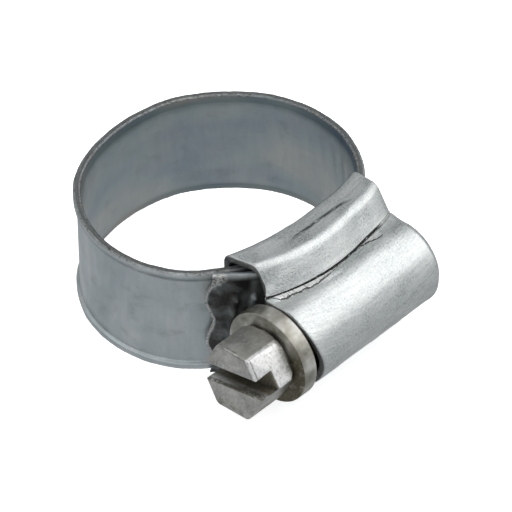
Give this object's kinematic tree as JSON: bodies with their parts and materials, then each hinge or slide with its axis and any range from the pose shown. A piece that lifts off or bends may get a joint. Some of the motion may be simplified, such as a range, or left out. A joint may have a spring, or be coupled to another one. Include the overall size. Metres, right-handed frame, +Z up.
{
  "type": "hose clamp",
  "caption": "Zinc-plated steel worm-drive hose clamp: a rolled-edge band looped through a pressed saddle-and-tunnel housing, tightened by a slotted hexagon-head screw.",
  "frame": {"origin": "On the resting plane, under the middle of the clamp's bounding box (measured in plan). The loop's own axis is 0.9 mm along +X and 4.1 mm along +Y from it.", "axes": "+Z up, along the hose that the loop holds. X along the screw, with the hexagon head towards -X. The housing is on the -Y side of the loop."},
  "size_m": [0.0327, 0.0374, 0.0152],
  "materials": {
    "zinc_housing": "bright zinc plate over pressed sheet, drawn grain and bright streaks",
    "zinc_band": "blue-grey zinc plate, soft satin",
    "steel_screw": "turned and milled steel with a warm grey plate and oil in the corners"
  },
  "bodies": {
    "housing": {"housing": "zinc_housing"},
    "screw": {"screw": "steel_screw"},
    "tail": {"band_tail": "zinc_band"},
    "far_side": {"band_far_side": "zinc_band"},
    "left_side": {"band_left_side": "zinc_band"},
    "head_end": {"band_head_end": "zinc_band"}
  },
  "joints": [
    {"name": "screw_spin", "type": "hinge", "parent": "housing", "child": "screw", "pos_m": [0.0009, -0.0135, 0.0076], "axis": [1, 0, 0], "range_deg": [-720, 2610]},
    {"name": "tail_feed", "type": "hinge", "parent": "housing", "child": "tail", "pos_m": [0.0003, 0.0048, 0.0076], "axis": [0, 0, 1], "range_deg": [-53.18, 15.11]},
    {"name": "bend_right", "type": "hinge", "parent": "tail", "child": "far_side", "pos_m": [0.01496, 0.009, 0.0076], "axis": [0, 0, 1], "range_deg": [-6.81, 23.1]},
    {"name": "bend_left", "type": "hinge", "parent": "far_side", "child": "left_side", "pos_m": [-0.01202, 0.01097, 0.0076], "axis": [0, 0, 1], "range_deg": [-6.11, 20.58]},
    {"name": "bend_head", "type": "hinge", "parent": "left_side", "child": "head_end", "pos_m": [-0.01091, -0.00387, 0.0076], "axis": [0, 0, 1], "range_deg": [-3.39, 10.7]}
  ],
  "couplings": [
    {"joint": "tail_feed", "follows": "screw_spin", "ratio": -0.020146},
    {"joint": "bend_right", "follows": "screw_spin", "ratio": 0.0086226},
    {"joint": "bend_left", "follows": "screw_spin", "ratio": 0.0076555},
    {"joint": "bend_head", "follows": "screw_spin", "ratio": 0.0038681}
  ]
}
